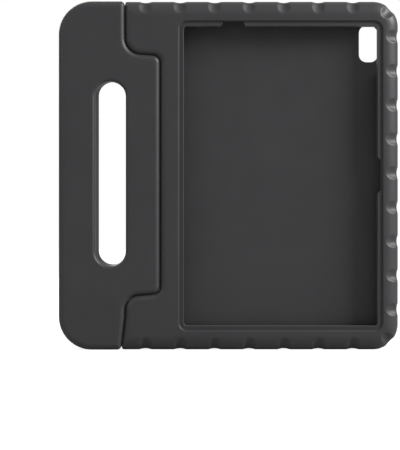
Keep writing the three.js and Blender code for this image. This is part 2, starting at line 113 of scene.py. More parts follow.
# A path through corners (x, z, radius), moved to its left by an offset
def roundedPath(corners, offset=0.0, perQuarter=12):
    points = []
    for i, (x, z, radius) in enumerate(corners):
        here = Vector((x, z))
        before = (here - Vector(corners[i - 1][:2])).normalized() if i else None
        after = (Vector(corners[i + 1][:2]) - here).normalized() if i < len(corners) - 1 else None
        if before is None or after is None:
            along = after if before is None else before
            points.append(here + offset * Vector((-along.y, along.x)))
            continue
        side = 1 if before.x * after.y - before.y * after.x > 0 else -1
        cosTurn = max(-1.0, min(1.0, before.dot(after)))
        turn = math.acos(cosTurn)
        normal, normalAfter = Vector((-before.y, before.x)), Vector((-after.y, after.x))
        mitre = here + offset * (normal + normalAfter) / (1 + cosTurn)
        kept = max(radius - side * offset, smallestRadius)
        centre = mitre - before * kept * math.tan(turn / 2) + normal * side * kept
        spoke = normal * -side * kept
        steps = max(3, round(perQuarter * turn / (math.pi / 2)))
        for k in range(steps + 1):
            a = side * turn * k / steps
            points.append(
                centre
                + Vector(
                    (
                        spoke.x * math.cos(a) - spoke.y * math.sin(a),
                        spoke.x * math.sin(a) + spoke.y * math.cos(a),
                    )
                )
            )
    return [(p[0], p[1]) for p in points]


def smoothStep(low, high, value):
    t = np.clip((value - low) / (high - low), 0, 1)
    return t * t * (3 - 2 * t)


def roundingSteps(radius, count):
    rows = []
    for i in range(count + 1):
        a = math.pi / 2 * i / count
        rows.append((radius * (1 - math.sin(a)), radius * (1 - math.cos(a)), a))
    return rows


# Meshes, worked in millimetres until a piece is finished, with faces that look outwards
def newPiece(name, verts, faces):
    mesh = bpy.data.meshes.new(name)
    mesh.from_pydata([tuple(v) for v in verts], [], faces)
    shape = bmesh.new()
    shape.from_mesh(mesh)
    if shape.calc_volume(signed=True) < 0:
        bmesh.ops.reverse_faces(shape, faces=shape.faces[:])
        shape.to_mesh(mesh)
    shape.free()
    mesh.update()
    piece = bpy.data.objects.new(name, mesh)
    bpy.context.scene.collection.objects.link(piece)
    return piece


def signedArea(points):
    return sum(a[0] * b[1] - b[0] * a[1] for a, b in zip(points, points[1:] + points[:1])) / 2


# Rings of (points, y) with the same number of points, joined from front to back and closed
def ringPiece(name, rings):
    flip = signedArea(rings[0][0]) < 0
    count = len(rings[0][0])
    verts, faces = [], []
    for points, y in rings:
        verts += [(x, y, z) for x, z in (points[::-1] if flip else points)]
    for row in range(len(rings) - 1):
        for i in range(count):
            a, b = row * count + i, row * count + (i + 1) % count
            faces.append((a, b, b + count, a + count))
    last = (len(rings) - 1) * count
    faces.append(tuple(range(count - 1, -1, -1)))
    faces.append(tuple(range(last, last + count)))
    return newPiece(name, verts, faces)


def prism(points, fromY, toY, name="tool"):
    return ringPiece(name, [(points, fromY), (points, toY)])


def turnedPiece(name, profile, steps, centre, axis="Z"):
    verts, faces = [], []
    for k in range(steps):
        a = 2 * math.pi * k / steps
        for r, h in profile[1:-1]:
            verts.append((r * math.cos(a), r * math.sin(a), h))
    inner = len(profile) - 2
    for k in range(steps):
        n = (k + 1) % steps
        for i in range(inner - 1):
            faces.append((k * inner + i, n * inner + i, n * inner + i + 1, k * inner + i + 1))
    low, high = len(verts), len(verts) + 1
    verts += [(0, 0, profile[0][1]), (0, 0, profile[-1][1])]
    for k in range(steps):
        n = (k + 1) % steps
        faces.append((low, n * inner, k * inner))
        faces.append((high, k * inner + inner - 1, n * inner + inner - 1))
    if axis == "Y":
        verts = [(x, z, -y) for x, y, z in verts]
    verts = [(x + centre[0], y + centre[1], z + centre[2]) for x, y, z in verts]
    return newPiece(name, verts, faces)


def boxPiece(low, high):
    points = [(low[0], low[2]), (high[0], low[2]), (high[0], high[2]), (low[0], high[2])]
    return prism(points, low[1], high[1])


def combine(target, tool, operation="DIFFERENCE"):
    step = target.modifiers.new("step", "BOOLEAN")
    step.operation, step.solver, step.object = operation, "MANIFOLD", tool
    depsgraph = bpy.context.evaluated_depsgraph_get()
    result = bpy.data.meshes.new_from_object(target.evaluated_get(depsgraph))
    target.modifiers.clear()
    if not result.polygons:
        raise RuntimeError("nothing left of " + target.name)
    old, target.data = target.data, result
    bpy.data.meshes.remove(old)
    bpy.data.meshes.remove(tool.data)
    return target


def gathered(tools):
    verts, faces = [], []
    for tool in tools:
        start = len(verts)
        verts += [tuple(v.co) for v in tool.data.vertices]
        faces += [tuple(start + i for i in face.vertices) for face in tool.data.polygons]
        bpy.data.meshes.remove(tool.data)
    return newPiece("tools", verts, faces)


# Materials
def toLinear(hexColour):
    channels = [int(hexColour[i : i + 2], 16) / 255 for i in (1, 3, 5)]
    linear = [c / 12.92 if c <= 0.04045 else ((c + 0.055) / 1.055) ** 2.4 for c in channels]
    return (*linear, 1.0)


def addNode(tree, kind, inputs=None, **settings):
    node = tree.nodes.new(kind)
    for name, value in settings.items():
        setattr(node, name, value)
    for name, value in (inputs or {}).items():
        if isinstance(value, bpy.types.NodeSocket):
            tree.links.new(value, node.inputs[name])
        else:
            node.inputs[name].default_value = value
    return node


# Moulded EVA foam: closed cells under a satin skin. The eye gets a soft black with a broad dull
# highlight, a faint pebble from the mould and slightly greyer rubbed patches.
foamLook = {
    "colour": "#2f2f31",
    "rubbedColour": "#363638",
    "roughness": 0.46,
    "roughnessSpread": 0.06,
    "pebble": 1.1,  # mm between grains, drawn about three times as coarse as the real skin
    "pebbleHeight": 0.035,  # mm
    "mottle": 28.0,  # mm across a rubbed patch
    "sheen": 0.08,
}

# Injection-moulded nylon: plain satin black with a fine spark-eroded grain.
pinLook = {"colour": "#1b1b1d", "roughness": 0.42, "grain": 0.6, "grainHeight": 0.01}


def newMaterial(name):
    material = bpy.data.materials.new(name)
    material.use_nodes = True
    material.node_tree.nodes.clear()
    return material, material.node_tree


def mouldedFoam(name):
    material, tree = newMaterial(name)
    place = addNode(tree, "ShaderNodeTexCoord").outputs["Object"]
    perMetre = 1 / mm
    pebble = addNode(
        tree,
        "ShaderNodeTexNoise",
        {"Vector": place, "Scale": perMetre / foamLook["pebble"], "Detail": 3.0, "Roughness": 0.55},
    )
    mottle = addNode(
        tree,
        "ShaderNodeTexNoise",
        {"Vector": place, "Scale": perMetre / foamLook["mottle"], "Detail": 4.0, "Roughness": 0.6},
    )
    tone = addNode(
        tree,
        "ShaderNodeMix",
        {
            "A": toLinear(foamLook["colour"]),
            "B": toLinear(foamLook["rubbedColour"]),
            "Factor": mottle.outputs["Fac"],
        },
        data_type="RGBA",
    )
    spread = foamLook["roughnessSpread"]
    rough = addNode(
        tree,
        "ShaderNodeMapRange",
        {
            "Value": mottle.outputs["Fac"],
            "To Min": foamLook["roughness"] - spread,
            "To Max": foamLook["roughness"] + spread,
        },
    )
    bump = addNode(
        tree,
        "ShaderNodeBump",
        {"Height": pebble.outputs["Fac"], "Distance": foamLook["pebbleHeight"] * mm, "Strength": 1.0},
    )
    shader = addNode(
        tree,
        "ShaderNodeBsdfPrincipled",
        {
            "Base Color": next(s for s in tone.outputs if s.type == "RGBA"),
            "Roughness": rough.outputs["Result"],
            "Normal": bump.outputs["Normal"],
            "IOR": 1.48,
            "Sheen Weight": foamLook["sheen"],
            "Sheen Roughness": 0.5,
        },
    )
    addNode(tree, "ShaderNodeOutputMaterial", {"Surface": shader.outputs["BSDF"]})
    return material


def mouldedNylon(name):
    material, tree = newMaterial(name)
    place = addNode(tree, "ShaderNodeTexCoord").outputs["Object"]
    grain = addNode(
        tree, "ShaderNodeTexNoise", {"Vector": place, "Scale": 1 / mm / pinLook["grain"]}
    )
    bump = addNode(
        tree,
        "ShaderNodeBump",
        {"Height": grain.outputs["Fac"], "Distance": pinLook["grainHeight"] * mm},
    )
    shader = addNode(
        tree,
        "ShaderNodeBsdfPrincipled",
        {
            "Base Color": toLinear(pinLook["colour"]),
            "Roughness": pinLook["roughness"],
            "IOR": 1.53,
            "Normal": bump.outputs["Normal"],
        },
    )
    addNode(tree, "ShaderNodeOutputMaterial", {"Surface": shader.outputs["BSDF"]})
    return material


bodyFoam = mouldedFoam("bodyFoam")
handleFoam = mouldedFoam("handleFoam")
pinNylon = mouldedNylon("pinNylon")
print("materials made")


# Brings a piece to metres, smooths it and hands it to its body
def finishPiece(piece, material, node, body, sharpDeg=38):
    mesh = piece.data
    coords = np.empty(len(mesh.vertices) * 3)
    mesh.vertices.foreach_get("co", coords)
    mesh.vertices.foreach_set("co", coords * mm)
    mesh.materials.clear()
    mesh.materials.append(material)
    mesh.polygons.foreach_set("material_index", [0] * len(mesh.polygons))
    mesh.polygons.foreach_set("use_smooth", [True] * len(mesh.polygons))
    mesh.set_sharp_from_angle(angle=math.radians(sharpDeg))
    mesh.update()
    even = piece.modifiers.new("evenShading", "WEIGHTED_NORMAL")
    even.keep_sharp = True
    even.weight = 80
    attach(piece, body)
    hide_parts(node)
    print(piece.name, len(mesh.polygons), "faces")


# The seam between body and handle, measured from the pivot
seam = {
    "pivotX": -67.45,
    "gap": 0.8,
    "tongueReach": 13.55,
    "shoulderReach": 14.3,
    "shoulderLean": 0.3,
    "topStepDepth": 41.4,
    "topStepRise": 1.6,
    "bottomStepHeight": 42.0,
    "bottomStepRise": 2.4,
    "upperEarRadius": 13.0,
    "lowerEarRadius": 11.0,
    "tongueCornerRadius": 6.0,
    "shoulderSlant": 3.0,
    "shoulderSlantHeight": 24.5,
    "handleEndRadius": 4.0,
    "earEndChamfer": 2.3,
    "handleEdgeRadius": 4.2,
    "bodyEdgeRadius": 4.6,
    "frontGap": 0.06,  # in front of the pivot the two foams all but touch, so no light shows
}
pivotX = seam["pivotX"]
recessWallX = pivotX + seam["tongueReach"] + seam["gap"]
shoulderX = pivotX - seam["shoulderReach"]
toolLeft = caseLeft - farPast


def seamCorners():
    leanX = shoulderX + seam["shoulderLean"]
    tongueX = pivotX + seam["tongueReach"]
    topZ, bottomZ = caseTop - seam["topStepDepth"], seam["bottomStepHeight"]
    tongue = seam["tongueCornerRadius"]
    return [
        (leanX, topZ, seam["upperEarRadius"]),
        (tongueX, topZ - seam["topStepRise"], tongue),
        (tongueX, bottomZ + seam["bottomStepRise"], tongue),
        (leanX, bottomZ, seam["lowerEarRadius"]),
        (shoulderX, seam["shoulderSlantHeight"], seam["shoulderSlantHeight"]),
    ]


def handleSeam(offset):
    radius = seam["handleEndRadius"]
    return roundedPath(
        [
            (toolLeft - past, caseTop, 0),
            (shoulderX, caseTop, radius),
            *seamCorners(),
            (shoulderX - seam["shoulderSlant"], 0, radius),
            (toolLeft - past, 0, 0),
        ],
        offset,
    )


def bodySeam(extra=0.0):
    chamfer = seam["earEndChamfer"]
    bottomX = shoulderX - seam["shoulderSlant"] * (1 - chamfer / seam["shoulderSlantHeight"])
    return roundedPath(
        [
            (toolLeft - past, caseTop + chamfer, 0),
            (shoulderX + chamfer, caseTop + chamfer, toolCornerRadius),
            (shoulderX, caseTop - chamfer, chamfer),
            *seamCorners(),
            (bottomX, chamfer, chamfer),
            (bottomX + chamfer, -chamfer, toolCornerRadius),
            (toolLeft - past, -chamfer, 0),
        ],
        seam["gap"] + extra,
    )


def seamReach(points, side, fromZ, toZ):
    rows = []
    for x, z in points:
        reach = (x - pivotX) * side
        if 0 < reach < backY - frontY and fromZ < z < toZ:
            rows.append((reach, z))
    return sorted(rows, key=lambda row: row[1])


# Body
body = {
    "cornerRadius": 20.0,
    "edgeRadius": 8.5,
    "rimReach": 11.5,  # how far in from the edge the front and back begin to round off
    "bandInset": 14.0,  # where the flat front and back faces begin
    "fineStep": 0.45,
    "arcStep": 0.54,
    "coarseStep": 3.0,
    "channelWidth": 9.6,
    "channelDepth": 2.1,
    "channelSideDepth": 0.9,
    "channelReach": 9.8,
    "channelBackReach": 12.8,
    "channelPoint": 6.0,  # length of a channel's narrowing end
    "channelShoulder": 0.1,  # how softly a channel meets the rim, as a share of its depth
    "channelPitchX": 27.3,
    "channelPitchZ": 26.9,
    "channelsX": 7,
    "channelsZ": 9,
    "channelCentreX": 16.3,
    "channelCentreZ": 139.4,
}

tablet = {"width": 166.0, "height": 249.0, "depth": 8.5, "radius": 9.0, "x": 41.0, "z": 137.0}

window = {
    "frameDepth": 8.0,
    "lipX": 6.75,
    "lipZ": 6.5,
    "lipThickness": 6.8,
    "lipRadius": 2.5,
    "ledge": 4.4,
    "stepDepth": 1.8,
    "stepWidth": 0.8,
    "creaseRound": 0.5,
    "lipRound": 0.55,
    "topNotch": {"x": 3.8, "inner": 19.4, "outer": 15.2},
    "sideNotch": {"z": 137.7, "inner": 29.7, "outer": 22.9, "depth": 3.0},
    "notchRound": 1.0,
}
pocketFrontY = frontY + window["frameDepth"]
pocketBackY = pocketFrontY + tablet["depth"]
lipFrontY = pocketFrontY - window["lipThickness"]
lipWidth = tablet["width"] - 2 * window["lipX"]
lipHeight = tablet["height"] - 2 * window["lipZ"]


def channelFrames():
    frames = []
    for i in range(body["channelsX"]):
        x = body["channelCentreX"] + (i - (body["channelsX"] - 1) / 2) * body["channelPitchX"]
        frames += [((x, caseTop), (0, 1)), ((x, 0), (0, -1))]
    for i in range(body["channelsZ"]):
        z = body["channelCentreZ"] + (i - (body["channelsZ"] - 1) / 2) * body["channelPitchZ"]
        frames.append(((caseRight, z), (1, 0)))
    diagonal = math.sqrt(0.5)
    reach = body["cornerRadius"] * (1 - diagonal)
    for side in (1, -1):
        apex = (caseRight - reach, middleZ + side * (middleZ - reach))
        frames.append((apex, (diagonal, side * diagonal)))
    return frames


# Stations along a straight side: close together at the walls of its channels
def stations(start, end, centres):
    fine, coarse = body["fineStep"], body["coarseStep"]
    half = body["channelWidth"] / 2 + 2 * fine
    low, high = min(start, end), max(start, end)
    marks = []
    for centre in centres:
        marks += list(np.arange(centre - half, centre + half + fine / 2, fine))
    count = int((high - low) / coarse)
    for mark in np.linspace(low, high, count + 1):
        if all(abs(mark - centre) > half + fine for centre in centres):
            marks.append(mark)
    marks = sorted(m for m in marks if low < m < high)
    marks = [low] + marks + [high]
    return marks if start < end else marks[::-1]


# The outer outline from the top left, round the right side, to the bottom left
def outlineRows():
    radius = body["cornerRadius"]
    frames = channelFrames()
    alongX = sorted({point[0] for point, normal in frames if normal[0] == 0})
    alongZ = sorted({point[1] for point, normal in frames if normal == (1, 0)})
    cornerX = caseRight - radius
    arcSteps = round(radius * math.pi / 2 / body["arcStep"])
    rows = [(x, caseTop, 0.0, 1.0) for x in stations(toolLeft, cornerX, alongX)]
    for i in range(1, arcSteps):
        a = math.pi / 2 * (1 - i / arcSteps)
        c, s = math.cos(a), math.sin(a)
        rows.append((cornerX + radius * c, caseTop - radius + radius * s, c, s))
    rows += [(caseRight, z, 1.0, 0.0) for z in stations(caseTop - radius, radius, alongZ)]
    for i in range(1, arcSteps):
        a = -math.pi / 2 * i / arcSteps
        c, s = math.cos(a), math.sin(a)
        rows.append((cornerX + radius * c, radius + radius * s, c, s))
    rows += [(x, 0.0, 0.0, -1.0) for x in stations(cornerX, toolLeft, alongX)]
    return np.array(rows)


# Inset, y and the normal's two parts, from the front face over the rim to the back face
def rimSection():
    radius, reach, fine = body["edgeRadius"], body["rimReach"], body["fineStep"]
    rows = [(inset, frontY, 0.0, -1.0) for inset in np.arange(body["bandInset"], reach, -fine)]
    steps = round((radius + reach) * math.pi / 4 / body["arcStep"])
    for inset, drop, a in roundingSteps(radius, steps):
        sideways, outward = radius * math.sin(a), reach * math.cos(a)
        size = math.hypot(sideways, outward)
        rows.append((inset * reach / radius, frontY + drop, sideways / size, -outward / size))
    for share in (0.25, 0.5, 0.75):
        rows.append((0.0, frontY + radius + share * (backY - frontY - 2 * radius), 1.0, 0.0))
    front = list(rows)
    for inset, y, sideways, outward in front[-4::-1]:
        rows.append((inset, frontY + backY - y, sideways, -outward))
    return np.array(rows)


def slabWithChannels():
    outline, section = outlineRows(), rimSection()
    x, z = outline[:, 0, None], outline[:, 1, None]
    normalX, normalZ = outline[:, 2, None], outline[:, 3, None]
    inset, y = section[None, :, 0], section[None, :, 1]
    sideways, outward = section[None, :, 2], section[None, :, 3]
    baseX, baseZ = x - inset * normalX, z - inset * normalZ
    half, point, soft = body["channelWidth"] / 2, body["channelPoint"], body["channelShoulder"]
    reach = np.where(y < 0, body["channelReach"], body["channelBackReach"])
    scoop = np.full(baseX.shape, -100.0)
    for (pointX, pointZ), (awayX, awayZ) in channelFrames():
        across = (baseX - pointX) * -awayZ + (baseZ - pointZ) * awayX
        inward = -((baseX - pointX) * awayX + (baseZ - pointZ) * awayZ)
        beyond = np.maximum(inward - reach + point, 0)
        spread = np.hypot(across / half, beyond / point)
        scoop = np.maximum(scoop, 1 - spread**2)
    deepest, atSide = body["channelDepth"], body["channelSideDepth"]
    depth = (atSide + (deepest - atSide) * smoothStep(0, body["rimReach"] / 4, inset)) * (
        (scoop + np.sqrt(scoop**2 + soft**2)) / 2
    )
    points = np.stack(
        [
            baseX - depth * normalX * sideways,
            y - depth * outward,
            baseZ - depth * normalZ * sideways,
        ],
        axis=-1,
    )
    rows, columns = scoop.shape
    at = np.arange(rows * columns).reshape(rows, columns)
    quads = np.stack([at[:-1, :-1], at[:-1, 1:], at[1:, 1:], at[1:, :-1]], axis=-1)
    faces = [tuple(q) for q in quads.reshape(-1, 4).tolist()]
    faces.append(tuple(at[:, 0].tolist()))
    faces.append(tuple(at[::-1, -1].tolist()))
    faces.append(tuple(at[-1].tolist() + at[0, ::-1].tolist()))
    return newPiece("caseBody", points.reshape(-1, 3).tolist(), faces)


# What the ears keep behind the pivot: round to its left and straight to its right
def earsBehind():
    outline = bodySeam()
    tools = []
    for fromZ, toZ in ((middleZ, caseTop), (0, middleZ)):
        rows = seamReach(outline, -1, fromZ, toZ)
        if fromZ:
            rows = [(sliver, rows[0][1] - sliver)] + rows + [(rows[-1][0], caseTop + past)]
        else:
            rows = [(rows[0][0], -past)] + rows + [(sliver, rows[-1][1] + sliver)]
        profile = [(0, rows[0][1])] + rows + [(0, rows[-1][1])]
        tools.append(turnedPiece("ear", profile, seamSteps, (pivotX, 0, 0)))
        wall = [(-past, rows[0][1])] + rows + [(-past, rows[-1][1])]
        tools.append(runAlongX(wall, pivotX, recessWallX + past))
    first = tools[0]
    for tool in tools[1:]:
        combine(first, tool, "UNION")
    return first


def runAlongX(outline, fromX, toX):
    if signedArea(outline) < 0:
        outline = outline[::-1]
    count = len(outline)
    verts = [(x, y, z) for x in (fromX, toX) for y, z in outline]
    faces = [(i, (i + 1) % count, (i + 1) % count + count, i + count) for i in range(count)]
    faces += [tuple(range(count - 1, -1, -1)), tuple(range(count, 2 * count))]
    return newPiece("wall", verts, faces)


def seamTool():
    radius = seam["bodyEdgeRadius"]
    close = seam["frontGap"] - seam["gap"]
    rings = [(bodySeam(close + radius), frontY - past)]
    for grow, drop, _ in roundingSteps(radius, edgeSteps):
        rings.append((bodySeam(close + grow), frontY + drop))
    rings.append((bodySeam(close), 0.0))
    front = ringPiece("seamTool", rings)
    low = (toolLeft - 2 * past, -sliver, -past)
    behind = boxPiece(low, (recessWallX, backY + past, caseTop + past))
    combine(behind, earsBehind())
    return combine(front, behind, "UNION")


def windowTool():
    ledge = window["ledge"]
    stepFoot = ledge - window["stepWidth"]
    profile = roundedPath(
        [
            (ledge + farPast, frontY, 0),
            (ledge, frontY, window["creaseRound"]),
            (stepFoot, frontY + window["stepDepth"], window["creaseRound"]),
            (0, lipFrontY, window["lipRound"]),
            (0, pocketFrontY + past, 0),
        ],
        perQuarter=16,
    )
    rings = [(profile[1][0], frontY - past)] + profile[1:]
    return ringPiece(
        "windowTool",
        [
            (
                roundedBox(
                    tablet["x"],
                    tablet["z"],
                    lipWidth + 2 * grow,
                    lipHeight + 2 * grow,
                    window["lipRadius"] + grow,
                ),
                y,
            )
            for grow, y in rings
        ],
    )


def notchTools():
    top, side, radius = window["topNotch"], window["sideNotch"], window["notchRound"]
    lipTop, lipRight = tablet["z"] + lipHeight / 2, tablet["x"] + lipWidth / 2
    ledge = window["ledge"]
    lean = (top["inner"] - top["outer"]) / 2 / ledge
    topShape = [
        (top["x"] - top["inner"] / 2 - lean, lipTop - past, 0),
        (top["x"] - top["outer"] / 2, lipTop + ledge, radius),
        (top["x"] + top["outer"] / 2, lipTop + ledge, radius),
        (top["x"] + top["inner"] / 2 + lean, lipTop - past, 0),
    ]
    lean = (side["inner"] - side["outer"]) / 2 / side["depth"]
    sideShape = [
        (lipRight - past, side["z"] - side["inner"] / 2 - lean, 0),
        (lipRight + side["depth"], side["z"] - side["outer"] / 2, radius),
        (lipRight + side["depth"], side["z"] + side["outer"] / 2, radius),
        (lipRight - past, side["z"] + side["inner"] / 2 + lean, 0),
    ]
    return [
        prism(roundedPath(shape), frontY - past, pocketFrontY + past)
        for shape in (topShape, sideShape)
    ]


# Openings in the back and the walls
openings = {
    "camera": {"x": 111.5, "z": 242.5, "outer": (19.6, 47.0, 8.0), "inner": (15.0, 29.0, 6.0)},
    "funnelDepth": 8.0,
    "funnelRound": 0.5,
    "button": {"bottom": 222.0, "height": 39.0, "reach": 10.8},
    "top": {"x": 61.0, "width": 30.0},
    "port": {"width": 20.0},
    "edgeReach": 10.5,
    "frontY": -4.0,
    "cornerRadius": 2.0,
    "speaker": {"diameter": 3.0, "pitch": 7.1, "count": 4, "offset": 47.0, "z": 9.5},
}


def cameraTool():
    place, depth, flare = openings["camera"], openings["funnelDepth"], openings["funnelRound"]
    inner, outer = place["inner"], place["outer"]
    innerY, steps = backY - depth, 5

    def shape(share, grow):
        width, height, corner = (a + (b - a) * share for a, b in zip(inner, outer))
        return roundedBox(
            place["x"], place["z"], width + 2 * grow, height + 2 * grow, corner + grow
        )

    rings = [(shape(0, 0), pocketBackY - past)]
    for i in range(steps + 1):
        rings.append((shape(i / steps, 0), innerY + (depth - flare) * i / steps))
    for grow, drop, _ in roundingSteps(flare, steps)[-2::-1]:
        rings.append((shape(1, grow), backY - drop))
    rings.append((shape(1, flare), backY + past))
    return ringPiece("cameraTool", rings)


def cutTools():
    radius, reach = openings["cornerRadius"], openings["edgeReach"]
    far = backY - frontY
    button, top, port = openings["button"], openings["top"], openings["port"]
    pocketTop, pocketBottom = tablet["z"] + tablet["height"] / 2, tablet["z"] - tablet["height"] / 2

    def block(x, z, width, height, fromY, toY):
        return prism(roundedBox(x, z, width, height, radius, 6), fromY, toY)

    side = block(
        caseRight - button["reach"] + far,
        button["bottom"] + button["height"] / 2,
        2 * far,
        button["height"],
        pocketFrontY,
        backY + past,
    )
    tools = [side]
    for x, width, wallZ, mouthZ, up in (
        (top["x"], top["width"], pocketTop, caseTop - reach, 1),
        (tablet["x"], port["width"], pocketBottom, reach, -1),
    ):
        tools.append(
            block(x, mouthZ + up * far, width, 2 * far, openings["frontY"], backY + past)
        )
        tools.append(
            block(x, wallZ + up * (far - past), width, 2 * far, openings["frontY"], pocketBackY)
        )
    return tools


def speakerTools():
    hole = openings["speaker"]
    mouth = Vector((0, backY, hole["z"]))
    root = Vector((0, (pocketFrontY + pocketBackY) / 2, tablet["z"] - tablet["height"] / 2 + past))
    along = root - mouth
    length = along.length + 2 * past
    turn = Vector((0, 0, 1)).rotation_difference(along)
    radius = hole["diameter"] / 2
    profile = [(0, -length / 2), (radius, -length / 2), (radius, length / 2), (0, length / 2)]
    tools = []
    for side in (-1, 1):
        for i in range(hole["count"]):
            tool = turnedPiece("hole", profile, holeSteps, (0, 0, 0))
            x = tablet["x"] + side * hole["offset"] + (i - (hole["count"] - 1) / 2) * hole["pitch"]
            centre = mouth + along / 2
            for vertex in tool.data.vertices:
                vertex.co = turn @ vertex.co + Vector((x, centre.y, centre.z))
            tools.append(tool)
    return tools


# Low round bumps in two staggered rows round the back
bumps = {
    "diameter": 7.0,
    "height": 0.9,
    "fullness": 2.4,  # 2 is a plain dome, more gives a flatter crown
    "pitch": 27.0,
    "outerInset": 20.5,
    "innerInset": 34.0,
}


def bumpPlaces():
    places = []
    for inset in (bumps["outerInset"], bumps["innerInset"]):
        lowX, highX = recessWallX + inset, caseRight - inset
        lowZ, highZ = inset, caseTop - inset
        countX = round((highX - lowX) / bumps["pitch"])
        countZ = round((highZ - lowZ) / bumps["pitch"])
        for i in range(countX):
            x = lowX + (highX - lowX) * (i + 0.5) / countX
            places += [(x, lowZ), (x, highZ)]
        for i in range(countZ):
            z = lowZ + (highZ - lowZ) * (i + 0.5) / countZ
            places += [(lowX, z), (highX, z)]
    camera = openings["camera"]
    clear = bumps["diameter"] / 2 + past
    halfX, halfZ = camera["outer"][0] / 2 + clear, camera["outer"][1] / 2 + clear
    return [
        (x, z)
        for x, z in places
        if abs(x - camera["x"]) >= halfX or abs(z - camera["z"]) >= halfZ
    ]


def bumpPieces():
    radius, height = bumps["diameter"] / 2, bumps["height"]
    profile = [(0, height)]
    for share in np.linspace(0, 1, 8)[1:]:
        profile.append((radius * share, height * (1 - share ** bumps["fullness"])))
    profile += [(radius, -past), (0, -past)]
    profile = profile[::-1]
    return [turnedPiece("bump", profile, holeSteps, (x, backY, z), "Y") for x, z in bumpPlaces()]


# Pivot pins and their bores
pin = {
    "diameter": 8.0,
    "length": 30.0,
    "ribDiameter": 9.4,
    "ribLength": 1.6,
    "ribPitch": 4.0,
    "firstRib": 3.0,
    "ribs": 3,
    "chamfer": 0.8,
    "clearance": 0.35,
}


def boreTools():
    radius, half = pin["diameter"] / 2 + pin["clearance"], pin["length"] / 2 + pin["clearance"]
    ribRadius = pin["ribDiameter"] / 2 + pin["clearance"]
    chamfer = pin["chamfer"]
    tools = []
    topZ = caseTop - seam["topStepDepth"] - seam["topStepRise"] / 2 + seam["gap"] / 2
    bottomZ = seam["bottomStepHeight"] + seam["bottomStepRise"] / 2 - seam["gap"] / 2
    for z, up in ((topZ, 1), (bottomZ, -1)):
        profile = [(0, -half), (radius - chamfer, -half), (radius, chamfer - half)]
        for i in range(pin["ribs"]):
            start = pin["firstRib"] + i * pin["ribPitch"] - pin["clearance"]
            end = start + pin["ribLength"] + 2 * pin["clearance"]
            profile += [
                (radius, start),
                (ribRadius, start + pin["ribLength"] - chamfer),
                (ribRadius, end),
                (radius, end),
            ]
        profile += [(radius, half - chamfer), (radius - chamfer, half), (0, half)]
        if up < 0:
            profile = [(r, -h) for r, h in profile[::-1]]
        tools.append(turnedPiece("bore", profile, boreSteps, (pivotX, 0, z)))
    return gathered(tools)


def makeBody():
    piece = slabWithChannels()
    print("rim band", len(piece.data.polygons), "faces")
    combine(piece, seamTool())
    combine(
        piece,
        prism(
            roundedBox(tablet["x"], tablet["z"], tablet["width"], tablet["height"], tablet["radius"]),
            pocketFrontY,
            pocketBackY,
        ),
    )
    for tool in [windowTool(), *notchTools(), cameraTool(), *cutTools()]:
        combine(piece, tool)
    combine(piece, gathered(speakerTools()))
    combine(piece, gathered(bumpPieces()), "UNION")
    combine(piece, boreTools())
    finishPiece(piece, bodyFoam, "case_body", "case", 60)


# Handle
handle = {
    "cornerRadius": 26.0,
    "edgeRadius": 5.0,
    "outerThickness": 17.0,
    "taperPower": 1.5,
    "slotX": -92.0,
    "slotZ": 140.0,
    "slotWidth": 22.0,
    "slotLength": 146.0,
    "slotRound": 2.6,
    "wallLean": (2.2, 1.0, -1.4),  # how far the slot is wider at the front: left, down and up
    "straightWall": 10.0,  # how deep the wall runs straight before it leans in to the back
    "roundSteps": 8,
}


def handleBack(x):
    if x > shoulderX:
        return backY
    share = (shoulderX - x) / (shoulderX - caseLeft)
    return backY - (backY - frontY - handle["outerThickness"]) * share ** handle["taperPower"]


# A slab between an upper edge (x, z, normal x, normal z) and its mirror image below
def ruledSlab(name, edge, layers):
    count = len(edge)
    verts, faces = [], []
    for inset, surface in layers:
        for side in (1, -1):
            for x, z, normalX, normalZ in edge:
                placeX = x - inset * normalX
                rise = z - inset * normalZ - middleZ
                verts.append((placeX, surface(placeX), middleZ + side * rise))

    def upper(k, i):
        return k * 2 * count + i

    def lower(k, i):
        return k * 2 * count + count + i

    last, end = len(layers) - 1, count - 1
    for k in range(last):
        for i in range(end):
            faces.append((upper(k, i), upper(k + 1, i), upper(k + 1, i + 1), upper(k, i + 1)))
            faces.append((lower(k, i), lower(k, i + 1), lower(k + 1, i + 1), lower(k + 1, i)))
        faces.append((upper(k, end), upper(k + 1, end), lower(k + 1, end), lower(k, end)))
        faces.append((upper(k, 0), lower(k, 0), lower(k + 1, 0), upper(k + 1, 0)))
    for i in range(end):
        faces.append((upper(0, i), upper(0, i + 1), lower(0, i + 1), lower(0, i)))
        faces.append((upper(last, i), lower(last, i), lower(last, i + 1), upper(last, i + 1)))
    return newPiece(name, verts, faces)


def handleSlab():
    radius, steps = handle["cornerRadius"], handle["roundSteps"]
    start = caseLeft + radius
    centreZ = caseTop - radius
    edge = []
    for x, z in arcPoints(start, centreZ, radius, 180, 90, 3 * steps):
        edge.append((x, z, (x - start) / radius, (z - centreZ) / radius))
    for i in range(1, 2 * steps + 1):
        edge.append((start + (shoulderX - start) * i / (2 * steps), caseTop, 0.0, 1.0))
    edge.append((recessWallX + past, caseTop, 0.0, 1.0))
    rounding = roundingSteps(handle["edgeRadius"], steps)
    layers = [(inset, lambda x, drop=drop: frontY + drop) for inset, drop, _ in rounding]
    layers += [
        (inset, lambda x, drop=drop: handleBack(x) - drop) for inset, drop, _ in rounding[::-1]
    ]
    return ruledSlab("carryHandle", edge, layers)


